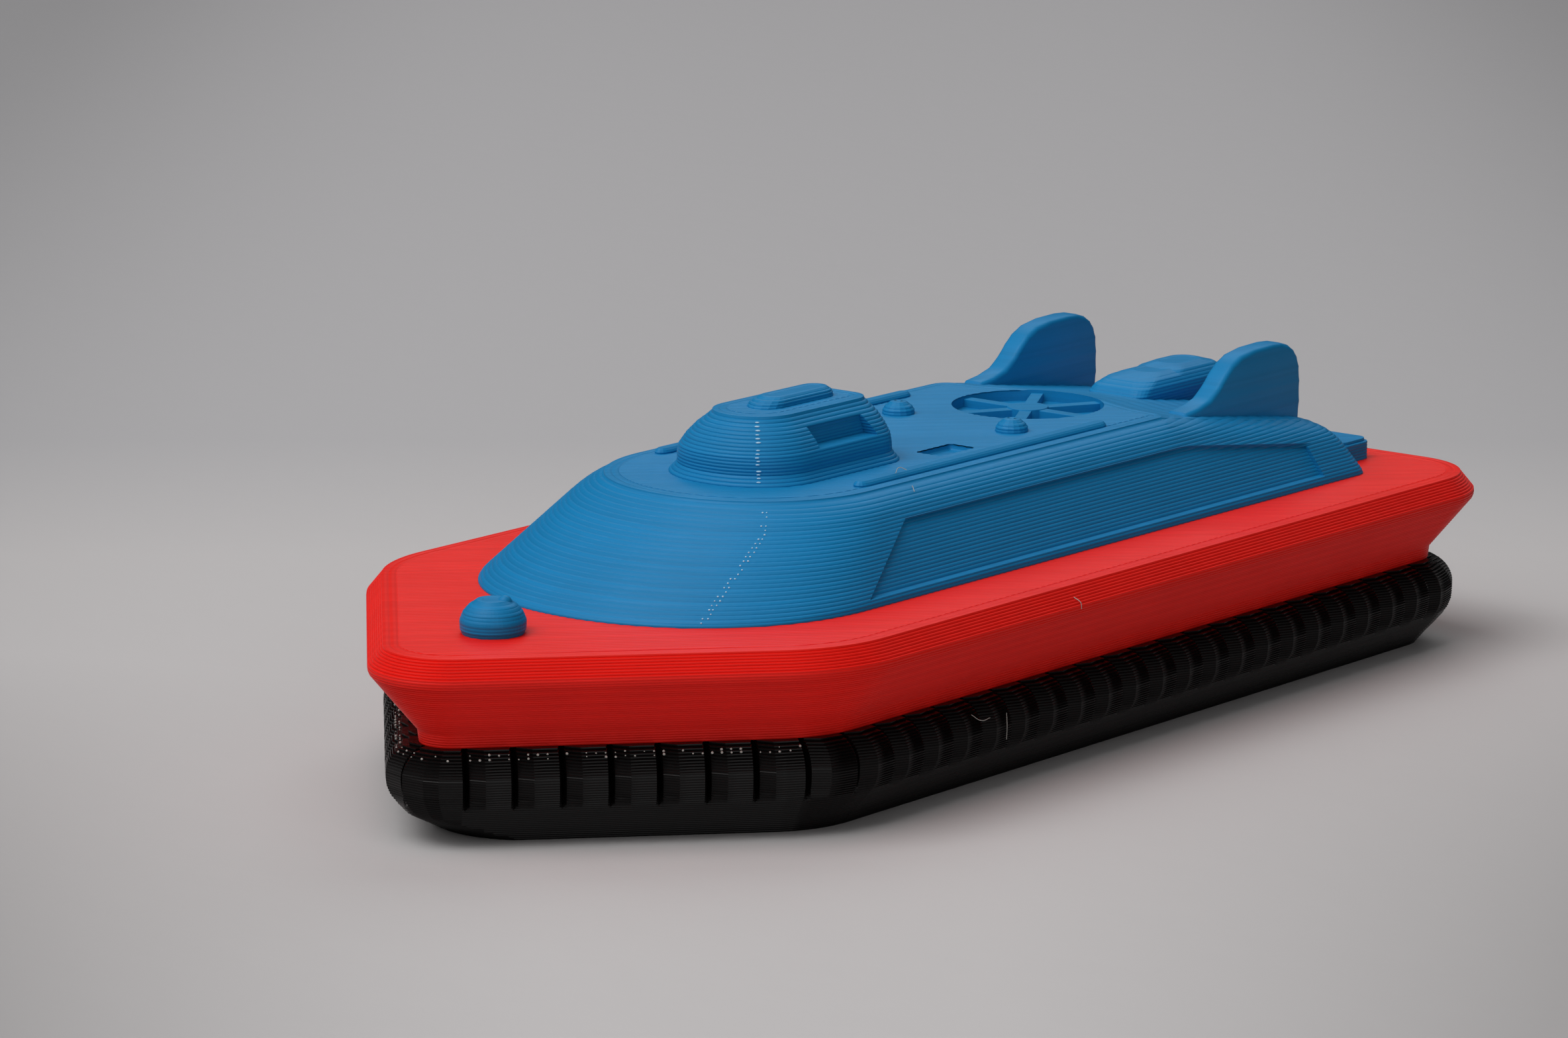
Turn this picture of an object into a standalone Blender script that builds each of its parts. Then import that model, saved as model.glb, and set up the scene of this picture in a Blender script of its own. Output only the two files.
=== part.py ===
"""Toy hovercraft, printed in three colours: black skirt, red hull, blue superstructure.

Metres, +Z up, bow towards -Y, port towards +X. The origin is under the middle of the
toy, on the surface that the skirt's flat bottom stands on.
"""
import math

import bmesh
import bpy
from mathutils import Matrix, Vector

MM = 0.001
GAP = 0.05 * MM                      # seat between two prints, or two pieces of one print

# Driving dimensions, in millimetres until they are scaled where they are used.
LENGTH = 86.0                        # hull, bow tip to stern, at its widest line
BEAM = 38.0                          # hull, at its widest line
BOW_HALF_ANGLE = math.radians(43.5)  # between the centre line and a bow side
BOW_RADIUS = 4.9                     # of the widest line, at the bow tip
SIDE_RADIUS = 10.0                   # where a bow side meets a long side
STERN_RADIUS = 6.0

DATUM = 0.3                          # height above the ground of the plane that heights start from
SKIRT_TOP = 5.4
HULL_TOP = 11.1
HOUSE_TOP = 16.9                     # flat roof of the superstructure
CABIN_TOP = 20.7                     # wheelhouse roof
FINGERS = 74                         # round the whole skirt

BLUE = (0.025, 0.17, 0.38, 1.0)
RED = (0.56, 0.02, 0.012, 1.0)
BLACK = (0.012, 0.011, 0.011, 1.0)


def material(name, colour, roughness):
    """A plain printed plastic of one colour."""
    made = bpy.data.materials.new(name)
    made.use_nodes = True
    shader = made.node_tree.nodes["Principled BSDF"]
    shader.inputs["Base Color"].default_value = colour
    shader.inputs["Roughness"].default_value = roughness
    shader.inputs["Metallic"].default_value = 0.0
    return made


def add_object(name, mesh, finish):
    """Link a mesh as a named sub-part with its material."""
    made = bpy.data.objects.new(name, mesh)
    bpy.context.scene.collection.objects.link(made)
    if finish is not None:
        mesh.materials.append(finish)
    return made


def finished_mesh(name, shape):
    """Turn a bmesh into a mesh whose faces point outwards."""
    bmesh.ops.recalc_face_normals(shape, faces=shape.faces[:])
    mesh = bpy.data.meshes.new(name)
    shape.to_mesh(mesh)
    shape.free()
    return mesh


def loft(name, rings, finish):
    """Join closed rings of equal count, each a list of (x, y, z) in mm, bottom ring first."""
    shape = bmesh.new()
    rows = [[shape.verts.new(Vector(point) * MM) for point in ring] for ring in rings]
    count = len(rows[0])
    for low, high in zip(rows, rows[1:]):
        for i in range(count):
            j = (i + 1) % count
            shape.faces.new((low[i], low[j], high[j], high[i]))
    shape.faces.new(rows[0][::-1])
    shape.faces.new(rows[-1])
    return add_object(name, finished_mesh(name, shape), finish)


def cutter(made):
    """Mark an object as a tool that is not part of the toy."""
    made.hide_render = True
    made.display_type = "WIRE"
    return made


def cut(target, tool):
    """Cut a tool out of a sub-part."""
    change = target.modifiers.new("cut_" + tool.name, "BOOLEAN")
    change.operation = "DIFFERENCE"
    change.solver = "EXACT"
    change.object = tool


def arc(centre, radius, start, end, steps):
    """Points on an arc with their outward normals."""
    found = []
    for i in range(steps + 1):
        angle = start + (end - start) * i / steps
        normal = (math.cos(angle), math.sin(angle))
        found.append(((centre[0] + radius * normal[0], centre[1] + radius * normal[1]), normal))
    return found


def hull_line():
    """Points and outward normals of the widest line, bow tip to mid stern by the port side."""
    half = BEAM / 2
    normal = (math.cos(BOW_HALF_ANGLE), -math.sin(BOW_HALF_ANGLE))
    bow_centre = (0.0, -LENGTH / 2 + BOW_RADIUS)
    side_x = half - SIDE_RADIUS
    # Both arcs touch the straight bow side, so their centres differ by their radii along its normal.
    side_y = (normal[0] * side_x + normal[1] * -bow_centre[1] + SIDE_RADIUS - BOW_RADIUS) / -normal[1]
    stern_centre = (half - STERN_RADIUS, LENGTH / 2 - STERN_RADIUS)
    points = arc(bow_centre, BOW_RADIUS, -math.pi / 2, -BOW_HALF_ANGLE, 6)
    points += arc((side_x, side_y), SIDE_RADIUS, -BOW_HALF_ANGLE, 0.0, 5)
    points += arc(stern_centre, STERN_RADIUS, 0.0, math.pi / 2, 6)
    points.append(((0.0, LENGTH / 2), (0.0, 1.0)))
    return points


def mirrored(points):
    """Close a port-side line, first and last point on the centre line, round the starboard side."""
    back = [((-x, y), (-nx, ny)) for (x, y), (nx, ny) in reversed(points[1:-1])]
    return points + back


def ring(points, outset, height):
    """Offset a line of points with normals, and lift it to a height."""
    return [(x + nx * outset, y + ny * outset, height) for (x, y), (nx, ny) in points]


def resampled(points, count, first):
    """Equally spaced points and normals along a closed line; first is where it starts, in spacings."""
    lengths = [0.0]
    closed = points + points[:1]
    for (a, _), (b, _) in zip(closed, closed[1:]):
        lengths.append(lengths[-1] + math.dist(a, b))
    found = []
    for i in range(count):
        goal = lengths[-1] * ((i + first) / count % 1.0)
        part = max(k for k in range(len(points)) if lengths[k] <= goal)
        span = lengths[part + 1] - lengths[part]
        mix = (goal - lengths[part]) / span if span else 0.0
        (a, na), (b, nb) = closed[part], closed[part + 1]
        x, y = (a[k] + (b[k] - a[k]) * mix for k in range(2))
        nx, ny = (na[k] + (nb[k] - na[k]) * mix for k in range(2))
        size = math.hypot(nx, ny)
        found.append(((x, y), (nx / size, ny / size)))
    return found


# Skirt section from the ground up: height, outset of the finger fronts from the widest line,
# depth of the grooves between them.
SKIRT_LEVELS = (
    (-DATUM, -4.00, 0.00),
    (0.6, -3.05, 0.00),
    (1.9, -1.60, 0.10),
    (2.5, -1.15, 0.80),
    (3.1, -0.94, 1.00),
    (4.1, -0.94, 1.00),
    (4.7, -1.35, 1.00),
    (SKIRT_TOP - GAP / MM, -2.50, 0.50),
)
FINGER_POINTS = 5                    # the groove is the first of them
FINGER_PATH = -2.6                   # outset of the line through the fingers' middles
FINGER_PHASE = -0.14                 # of the first groove from the bow tip, in fingers
STERN_SHRINK = 0.3                   # how much shorter the fingers' row is at the stern
SHRINK_FULL = 2.5                    # height from which all of it holds


def stern_inset(normal, height):
    """How much further in the skirt lies towards the stern."""
    return STERN_SHRINK * min(1.0, max(0.0, normal[1]) / 0.6) * min(1.0, max(0.0, height) / SHRINK_FULL)


def build_skirt(finish):
    """Black skirt: a solid block whose side is a row of rounded upright fingers."""
    widest = mirrored(hull_line())
    inner = [((x + nx * FINGER_PATH, y + ny * FINGER_PATH), (nx, ny)) for (x, y), (nx, ny) in widest]
    line = resampled(inner, FINGERS * FINGER_POINTS, FINGER_PHASE * FINGER_POINTS)
    # A finger's plan is a half circle: the groove reaches in where the circle ends.
    spans = [1.0 - 2.0 * i / FINGER_POINTS for i in range(FINGER_POINTS)]
    shares = [math.sqrt(1.0 - span * span) for span in spans]
    rings = []
    for height, outset, groove in SKIRT_LEVELS:
        level = []
        for i, point in enumerate(line):
            inset = groove * (1.0 - shares[i % FINGER_POINTS]) + stern_inset(point[1], height)
            level += ring([point], outset - FINGER_PATH - inset, height)
        rings.append(level)
    return loft("skirt", rings, finish)


# Hull section from its underside up: height, outset from the widest line.
HULL_LEVELS = (
    (SKIRT_TOP, -2.90),
    (6.2, -2.80),
    (9.6, -0.05),
    (9.75, 0.00),
    (HULL_TOP, -0.95),
)


def build_hull(finish):
    """Red hull: undercut side, widest near the top, and a flat deck."""
    line = mirrored(hull_line())
    return loft("hull", [ring(line, outset, height) for height, outset in HULL_LEVELS], finish)


# The superstructure's plan at its foot, where its walls start to lean, and at its roof's edge.
HOUSE_FOOT = HULL_TOP + GAP / MM
LEAN_FROM = 11.5                     # height where the walls start to lean
LEAN_HALF = 13.05
SHOULDER = 16.4                      # height of the walls' top edge
SHOULDER_HALF = 10.2
HOUSE_PLANS = (
    # height, half width, bow tip y, bow length, aft end y
    (HOUSE_FOOT, 13.1, -29.75, 14.0, 35.56),
    (LEAN_FROM, LEAN_HALF, -29.1, 13.8, 35.4),
    (13.4, 11.945, -25.8, 12.06, 34.5),
    (14.5, 11.305, -23.9, 11.04, 33.4),
    (SHOULDER, SHOULDER_HALF, -20.6, 9.3, 30.0),
    (HOUSE_TOP, 9.05, -19.9, 8.7, 29.5),
)
ROOF_BREAK = 18.0                    # where the flat roof starts to fall aft
ROOF_FALL = 0.154                    # fall per length aft of the break
ROOF_END = 32.0
CHAMFER_DROP = 0.6                   # of the falling roof's side edges, downwards and inwards
CHAMFER_IN = 0.9


def plan_ring(half, tip, nose, aft, height, steps=12, corner=1.2):
    """A plan with a half-ellipse bow, straight sides and small aft corners."""
    found = []
    for i in range(steps + 1):
        angle = math.pi / 2 * i / steps
        found.append((half * math.sin(angle), tip + nose * (1.0 - math.cos(angle))))
    for i in range(4):
        angle = math.pi / 2 * i / 3
        found.append((half - corner + corner * math.cos(angle), aft - corner + corner * math.sin(angle)))
    found += [(-x, y) for x, y in reversed(found[1:])]
    return [(x, y, height) for x, y in found]


def roof_height(y):
    """Height of the superstructure's roof on its centre line."""
    return HOUSE_TOP - max(0.0, y - ROOF_BREAK) * ROOF_FALL


def bisect(made, point, normal):
    """Cut away what lies above a plane, in mm, and close the cut."""
    shape = bmesh.new()
    shape.from_mesh(made.data)
    everything = shape.verts[:] + shape.edges[:] + shape.faces[:]
    where = Vector(point) * MM
    cut_away = bmesh.ops.bisect_plane(shape, geom=everything, dist=1e-8, plane_co=where, plane_no=normal,
                                      clear_outer=True)
    edges = [item for item in cut_away["geom_cut"] if isinstance(item, bmesh.types.BMEdge)]
    bmesh.ops.edgenet_fill(shape, edges=edges)
    bmesh.ops.recalc_face_normals(shape, faces=shape.faces[:])
    shape.to_mesh(made.data)
    shape.free()


# Corners of the sunk side panel, as distances along the toy and heights.
PANEL = ((-16.1, 11.65), (-10.3, 15.2), (18.0, 15.2), (30.1, 13.6), (30.5, 11.65))
PANEL_DEPTH = 0.3
WALL_LEAN = (LEAN_HALF - SHOULDER_HALF) / (SHOULDER - LEAN_FROM)    # inwards per height


def wall_x(height):
    """Half width of the straight side wall at a height."""
    return LEAN_HALF - (height - LEAN_FROM) * WALL_LEAN


def chamfer_edge(made, side):
    """Cut the edge between one side wall and the falling roof."""
    low = []
    for y in (ROOF_BREAK, ROOF_END):
        height = roof_height(y) - CHAMFER_DROP
        low.append(Vector((side * wall_x(height), y, height)))
    top = Vector((side * (wall_x(HOUSE_TOP) - CHAMFER_IN), ROOF_BREAK, HOUSE_TOP))
    normal = (low[1] - low[0]).cross(top - low[0]).normalized()
    bisect(made, top, normal if normal.z > 0.0 else -normal)


def panel_cutter(side):
    """A slab that follows the leaning wall, for the sunk panel on one side."""
    shape = bmesh.new()
    rows = []
    for sunk in (PANEL_DEPTH, -2.0):
        rows.append([shape.verts.new(Vector((side * (wall_x(z) - sunk), y, z)) * MM) for y, z in PANEL])
    for i in range(len(PANEL)):
        j = (i + 1) % len(PANEL)
        shape.faces.new((rows[0][i], rows[0][j], rows[1][j], rows[1][i]))
    shape.faces.new(rows[0][::-1])
    shape.faces.new(rows[1])
    name = "panel_cut_port" if side > 0 else "panel_cut_starboard"
    return cutter(add_object(name, finished_mesh(name, shape), None))


FAN_CENTRE = 16.0                    # y of the lift fan's sunk ring
FAN_RADIUS = 4.85
FAN_DEPTH = 0.7
ABOVE = 2.0                          # how far the cutting blocks reach over the roof
HATCH = (4.0, 5.85, -0.85, 3.0)      # x and y ranges of the sunk deck hatches
HATCH_DEPTH = 0.4


def cylinder(name, centre, radius, low, high, steps, finish):
    """An upright round solid with flat ends."""
    found = []
    for height in (low, high):
        level = [(centre[0] + radius * math.cos(2 * math.pi * i / steps),
                  centre[1] + radius * math.sin(2 * math.pi * i / steps), height) for i in range(steps)]
        found.append(level)
    return loft(name, found, finish)


def box(name, low, high, finish):
    """A box between two corners in mm."""
    rows = []
    for height in (low[2], high[2]):
        rows.append([(low[0], low[1], height), (high[0], low[1], height),
                     (high[0], high[1], height), (low[0], high[1], height)])
    return loft(name, rows, finish)


def build_house(finish):
    """Blue superstructure: cone bow, leaning walls with sunk panels, roof that falls aft."""
    rings = [plan_ring(half, tip, nose, aft, height) for height, half, tip, nose, aft in HOUSE_PLANS]
    made = loft("superstructure", rings, finish)
    bisect(made, (0.0, ROOF_BREAK, HOUSE_TOP), Vector((0.0, ROOF_FALL, 1.0)).normalized())
    for side in (1, -1):
        chamfer_edge(made, side)
        cut(made, panel_cutter(side))
    floor = HOUSE_TOP - FAN_DEPTH
    well = cylinder("fan_well_cut", (0.0, FAN_CENTRE), FAN_RADIUS, floor, HOUSE_TOP + ABOVE, 40, None)
    cut(made, cutter(well))
    for side, name in ((1, "hatch_cut_port"), (-1, "hatch_cut_starboard")):
        x_low, x_high = sorted((side * HATCH[0], side * HATCH[1]))
        low, high = (x_low, HATCH[2], HOUSE_TOP - HATCH_DEPTH), (x_high, HATCH[3], HOUSE_TOP + ABOVE)
        pocket = box(name, low, high, None)
        cut(made, cutter(pocket))
    return made


# The wheelhouse's plan: the flared foot, the upright wall and the sloping top.
CABIN_PLANS = (
    # height, half width, bow tip y, bow length, aft end y, aft corner radius
    (HOUSE_TOP + GAP / MM, 5.10, -16.05, 4.30, -2.10, 2.0),
    (17.5, 4.65, -15.55, 4.10, -2.40, 1.9),
    (18.6, 4.50, -15.50, 4.05, -2.49, 1.8),
    (19.2, 4.15, -15.05, 3.75, -2.63, 1.7),
    (20.3, 3.05, -13.85, 3.00, -2.92, 1.5),
    (CABIN_TOP, 2.65, -13.40, 2.60, -3.10, 1.5),
)
# Corners of a side window, as distance along the toy, height and half width at its sunk face.
WINDOW = ((-10.3, 18.7, 3.35), (-10.45, 19.87, 3.35), (-5.3, 19.87, 3.35), (-4.8, 18.7, 3.35))
WINDOW_CLEAR = 2.4                   # how far the window's cutting block reaches outwards


def build_cabin(finish):
    """Wheelhouse with a sunk side window on each side."""
    rings = []
    for height, half, tip, nose, aft, corner in CABIN_PLANS:
        rings.append(plan_ring(half, tip, nose, aft, height, 10, corner))
    made = loft("wheelhouse", rings, finish)
    for side, name in ((1, "window_cut_port"), (-1, "window_cut_starboard")):
        shape = bmesh.new()
        rows = []
        for clear in (0.0, WINDOW_CLEAR):
            rows.append([shape.verts.new(Vector((side * (x + clear), y, z)) * MM) for y, z, x in WINDOW])
        for i in range(len(WINDOW)):
            j = (i + 1) % len(WINDOW)
            shape.faces.new((rows[0][i], rows[0][j], rows[1][j], rows[1][i]))
        shape.faces.new(rows[0][::-1])
        shape.faces.new(rows[1])
        cut(made, cutter(add_object(name, finished_mesh(name, shape), None)))
    return made


def stadium(centre, half, y_low, y_high, height, steps=8):
    """A plan with straight sides and half-round ends, along Y."""
    level = []
    for i in range(steps + 1):
        angle = math.pi * i / steps
        level.append((centre + half * math.cos(angle), y_high - half + half * math.sin(angle), height))
    for i in range(steps + 1):
        angle = math.pi + math.pi * i / steps
        level.append((centre + half * math.cos(angle), y_low + half + half * math.sin(angle), height))
    return level


def bar(name, centre, half, y_low, y_high, levels, finish):
    """A raised bar with round ends; levels hold a height and an inset."""
    rings = [stadium(centre, half - inset, y_low + inset, y_high - inset, height) for height, inset in levels]
    return loft(name, rings, finish)


def dome(name, centre, radius, levels, finish, steps=24):
    """A round boss; levels hold a height and a share of the radius."""
    rings = []
    for height, share in levels:
        rings.append([(centre[0] + radius * share * math.cos(2 * math.pi * i / steps),
                       centre[1] + radius * share * math.sin(2 * math.pi * i / steps), height)
                      for i in range(steps)])
    return loft(name, rings, finish)


def fan_ring(height):
    """The lift fan's plan: a round hub with flat blades whose ends stand clear of the well's wall."""
    level = []
    lean = math.asin(BLADE_WIDTH / 2 / HUB_RADIUS)
    for k in range(BLADES):
        turn = 2 * math.pi * k / BLADES
        ahead = (math.cos(turn), math.sin(turn))
        for side in (-1, 1):
            corner = (ahead[0] * BLADE_REACH - ahead[1] * side * BLADE_WIDTH / 2,
                      ahead[1] * BLADE_REACH + ahead[0] * side * BLADE_WIDTH / 2)
            root = (HUB_RADIUS * math.cos(turn + side * lean), HUB_RADIUS * math.sin(turn + side * lean))
            pair = [root, corner] if side < 0 else [corner, root]
            level += [(x, FAN_CENTRE + y, height) for x, y in pair]
        for share in (0.33, 0.67):
            angle = turn + lean + (2 * math.pi / BLADES - 2 * lean) * share
            level.append((HUB_RADIUS * math.cos(angle), FAN_CENTRE + HUB_RADIUS * math.sin(angle), height))
    return level


# Small pieces, in mm. Levels hold a height above the foot with an inset or a share of the radius.
HATCH_BAR = (0.0, 1.2, -11.4, -4.5)            # middle x, half width, both ends
HATCH_BAR_LEVELS = ((0.0, 0.0), (0.25, 0.02), (0.45, 0.15), (0.6, 0.45))
RAIL_X = 7.8
RAIL_HALF = 0.5
RAIL_ENDS = (-11.1, 13.6)
RAIL_LEVELS = ((0.0, 0.0), (0.17, 0.0), (0.34, 0.2))
VENT_PLACE = (4.5, 8.45)
VENT_RADIUS = 1.05
VENT_LEVELS = ((0.0, 1.0), (0.4, 0.9), (0.75, 0.52))
HUB_RADIUS = 1.3
BLADES = 6
BLADE_WIDTH = 0.8
BLADE_REACH = 4.7                    # from the fan's middle to a blade's end
BLADE_TOP = 16.7
KNOB_Y = -34.45
KNOB_RADIUS = 1.95
KNOB_LEVELS = ((0.0, 0.93), (0.3, 0.99), (0.8, 1.0), (1.3, 0.9), (1.7, 0.72), (2.0, 0.44))
STERN_BAR = (10.3, 36.2, 39.6, 1.4)            # half width, fore face, aft face, height

FIN_X = 8.2
FIN_THICKNESS = 1.6
FIN_OUTLINE = (                      # distance along the toy and height of the fin's edge
    (20.9, 16.72), (22.2, 16.88), (23.4, 17.2), (24.3, 17.8), (25.1, 18.55), (25.8, 19.1),
    (26.8, 19.55), (28.3, 19.77), (30.3, 19.83), (31.9, 19.6), (32.9, 18.95), (33.3, 18.0), (33.35, 17.0),
)
FIN_ENDS = (20.6, 33.2)              # fore and aft ends of the fin's foot
FIN_SECTION = (                      # share of the half thickness, share of the full outline
    (-1.0, 0.93), (-0.6, 1.0), (0.6, 1.0), (1.0, 0.93),
)


def fin_level(share):
    """The fin's outline drawn in towards its foot's middle by a share, its foot on the roof."""
    middle = sum(FIN_ENDS) / 2
    feet = [(middle + (y - middle) * share, 0.0) for y in FIN_ENDS]
    edge = []
    for y, z in FIN_OUTLINE:
        edge.append((middle + (y - middle) * share, (z - roof_height(y)) * share))
    return [(y, roof_height(y) + GAP / MM + rise) for y, rise in [feet[0]] + edge + [feet[1]]]


def build_fins(finish):
    """Two upright fins with round rims, whose feet follow the falling roof."""
    for side, name in ((1, "fin_port"), (-1, "fin_starboard")):
        rings = []
        for offset, share in FIN_SECTION:
            x = side * FIN_X + offset * FIN_THICKNESS / 2
            rings.append([(x, y, z) for y, z in fin_level(share)])
        loft(name, rings, finish)


# Engine housing, in mm: a box with round corners and sloping sides, and the hump on top of it.
ENGINE_FOOT = (2.2, 25.2, 32.9, 0.9)           # half width, fore end, aft end, corner radius
ENGINE_LEVELS = (
    # height, half width, fore end, aft end, corner radius
    (16.2, 2.3, 25.0, 34.6, 0.9),
    (16.6, 2.2, 25.4, 35.2, 1.0),
    (17.0, 1.9, 26.3, 34.8, 1.1),
)
COWL_LEVELS = (
    # height, half width, fore end, aft end, corner radius
    (17.0 + GAP / MM, 1.85, 26.5, 34.8, 1.0),
    (17.3, 1.55, 28.3, 34.6, 1.1),
    (17.5, 1.1, 30.2, 33.9, 1.0),
)


def oblong(half, fore, aft, corner, steps=4):
    """A plan with straight sides and small round corners."""
    found = []
    for x, y, turn in ((half - corner, aft - corner, 0.0), (corner - half, aft - corner, 0.5),
                       (corner - half, fore + corner, 1.0), (half - corner, fore + corner, 1.5)):
        for i in range(steps + 1):
            angle = math.pi * (turn + 0.5 * i / steps)
            found.append((x + corner * math.cos(angle), y + corner * math.sin(angle)))
    return found


def build_engine(finish):
    """Engine housing between the fins: its foot follows the falling roof."""
    rings = [[(x, y, roof_height(y) + GAP / MM) for x, y in oblong(*ENGINE_FOOT)]]
    for height, half, fore, aft, corner in ENGINE_LEVELS:
        rings.append([(x, y, height) for x, y in oblong(half, fore, aft, corner)])
    loft("engine_base", rings, finish)
    rings = []
    for height, half, fore, aft, corner in COWL_LEVELS:
        rings.append([(x, y, height) for x, y in oblong(half, fore, aft, corner)])
    loft("engine_cowl", rings, finish)


def lifted(levels, foot):
    """Levels moved up to a foot's height."""
    return [(foot + height, share) for height, share in levels]


def build_small_pieces(finish):
    """Roof hatch, rails, vents, fan hub, stern bar and bow knob."""
    roof = CABIN_TOP + GAP / MM
    bar("roof_hatch", *HATCH_BAR, lifted(HATCH_BAR_LEVELS, roof), finish)
    deck = HOUSE_TOP + GAP / MM
    for side, end in ((1, "port"), (-1, "starboard")):
        bar("rail_" + end, side * RAIL_X, RAIL_HALF, *RAIL_ENDS, lifted(RAIL_LEVELS, deck), finish)
        place = (side * VENT_PLACE[0], VENT_PLACE[1])
        dome("vent_" + end, place, VENT_RADIUS, lifted(VENT_LEVELS, deck), finish)
    well = HOUSE_TOP - FAN_DEPTH + GAP / MM
    loft("fan_hub", [fan_ring(well), fan_ring(BLADE_TOP)], finish)
    foredeck = HULL_TOP + GAP / MM
    half, fore, aft, height = STERN_BAR
    box("stern_bar", (-half, fore, foredeck), (half, aft, foredeck + height), finish)
    dome("bow_knob", (0.0, KNOB_Y), KNOB_RADIUS, lifted(KNOB_LEVELS, foredeck), finish)


def build_part():
    """Make every sub-part."""
    for old in list(bpy.data.objects):
        bpy.data.objects.remove(old, do_unlink=True)
    red = material("red_print", RED, 0.35)
    black = material("black_print", BLACK, 0.45)
    blue = material("blue_print", BLUE, 0.35)
    build_skirt(black)
    build_hull(red)
    build_house(blue)
    build_cabin(blue)
    build_fins(blue)
    build_engine(blue)
    build_small_pieces(blue)
    for made in bpy.data.objects:
        made.data.transform(Matrix.Translation((0.0, 0.0, DATUM * MM)))


build_part()
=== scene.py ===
"""Printed toy hovercraft: black skirt, red hull, blue superstructure. Metres, +Z up, bow to -Y."""
import math
import random

import bpy
from mathutils import Matrix, Vector


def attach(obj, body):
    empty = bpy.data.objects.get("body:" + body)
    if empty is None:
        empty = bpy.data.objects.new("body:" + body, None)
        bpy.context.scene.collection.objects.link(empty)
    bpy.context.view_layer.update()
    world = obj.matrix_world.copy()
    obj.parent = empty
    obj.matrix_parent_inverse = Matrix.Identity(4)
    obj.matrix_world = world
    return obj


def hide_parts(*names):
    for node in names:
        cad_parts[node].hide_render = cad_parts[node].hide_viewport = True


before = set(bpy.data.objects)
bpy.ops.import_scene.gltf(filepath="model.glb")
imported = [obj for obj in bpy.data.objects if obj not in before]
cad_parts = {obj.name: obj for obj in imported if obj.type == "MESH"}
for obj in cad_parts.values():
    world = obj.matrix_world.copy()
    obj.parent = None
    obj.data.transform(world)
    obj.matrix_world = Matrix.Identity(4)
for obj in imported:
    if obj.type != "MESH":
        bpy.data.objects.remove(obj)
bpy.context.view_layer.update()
bpy.ops.object.select_all(action="DESELECT")


# The camera stands to port of the bow, low, with a long lens, as the photograph was taken.
CAMERA_PLACE = (0.23217, -0.28958, 0.09174)
CAMERA_RIGHT = (0.77117, 0.63663, 0.0)
CAMERA_UP = (-0.13311, 0.16124, 0.97790)
CAMERA_BACK = (0.62256, -0.75412, 0.20908)
LENS_MM = 141.0
NEAREST = 0.01                       # distance from which the camera sees

bpy.ops.object.camera_add()
camera = bpy.context.object
camera.name = "camera"
camera.data.lens = LENS_MM
camera.data.clip_start = NEAREST
axes = Matrix((CAMERA_RIGHT, CAMERA_UP, CAMERA_BACK)).transposed().to_4x4()
camera.matrix_world = Matrix.Translation(CAMERA_PLACE) @ axes
bpy.context.scene.camera = camera
bpy.context.scene.view_settings.view_transform = "Standard"


# White paper under the toy, and large soft lights from the bow side, above and behind. The
# paper's darker places are painted, not lit. They are laid out along and across the camera's
# own direction, to follow the corners of its picture, and show as a stripe from behind.
class Value:
    """A shader socket that takes part in sums."""

    def __init__(self, tree, socket):
        self.tree = tree
        self.socket = socket

    def sum(self, operation, *others, turned=False):
        node = self.tree.nodes.new("ShaderNodeMath")
        node.operation = operation
        terms = (*others, self) if turned else (self, *others)
        for socket, term in zip(node.inputs, terms):
            feed(self.tree, socket, term)
        return Value(self.tree, node.outputs[0])

    def __add__(self, other):
        return self.sum("ADD", other)

    def __radd__(self, other):
        return self.sum("ADD", other)

    def __sub__(self, other):
        return self.sum("SUBTRACT", other)

    def __rsub__(self, other):
        return self.sum("SUBTRACT", other, turned=True)

    def __mul__(self, other):
        return self.sum("MULTIPLY", other)

    def __rmul__(self, other):
        return self.sum("MULTIPLY", other)

    def __truediv__(self, other):
        return self.sum("DIVIDE", other)


def feed(tree, socket, term):
    """Give a socket a value, or link another socket to it."""
    if isinstance(term, Value):
        tree.links.new(term.socket, socket)
    else:
        socket.default_value = term


class Finish:
    """A material with its own Principled shader, and one method that adds any other node."""

    def __init__(self, name):
        self.material = bpy.data.materials.new(name)
        self.material.use_nodes = True
        self.tree = self.material.node_tree
        self.shader = self.tree.nodes["Principled BSDF"]
        place = self.node("ShaderNodeTexCoord", output="Object")
        self.place = place
        parts = self.node("ShaderNodeSeparateXYZ", output=None, Vector=place)
        self.x, self.y, self.z = (Value(self.tree, parts.outputs[k]) for k in range(3))

    def node(self, kind, settings=None, output=0, **sockets):
        made = self.tree.nodes.new(kind)
        for key, value in (settings or {}).items():
            setattr(made, key, value)
        for key, value in sockets.items():
            feed(self.tree, made.inputs[key.replace("_", " ")], value)
        if output is None:
            return made
        return Value(self.tree, made.outputs[output])

    def noise(self, scale, detail=2.0, stretch=(1.0, 1.0, 1.0)):
        turned = self.node("ShaderNodeMapping", Vector=self.place, Scale=stretch)
        return self.node("ShaderNodeTexNoise", Vector=turned, Scale=scale, Detail=detail)

    def mix(self, factor, low, high):
        made = self.node("ShaderNodeMix", {"data_type": "RGBA"}, output=None)
        feed(self.tree, made.inputs[0], factor)
        feed(self.tree, made.inputs[6], low)
        feed(self.tree, made.inputs[7], high)
        return Value(self.tree, made.outputs[2])

    def clipped(self, value, low, high, to_low=0.0, to_high=1.0, kind="LINEAR"):
        return self.node("ShaderNodeMapRange", {"interpolation_type": kind}, Value=value, From_Min=low,
                         From_Max=high, To_Min=to_low, To_Max=to_high)

    def set(self, **sockets):
        for key, value in sockets.items():
            feed(self.tree, self.shader.inputs[key.replace("_", " ")], value)


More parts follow.
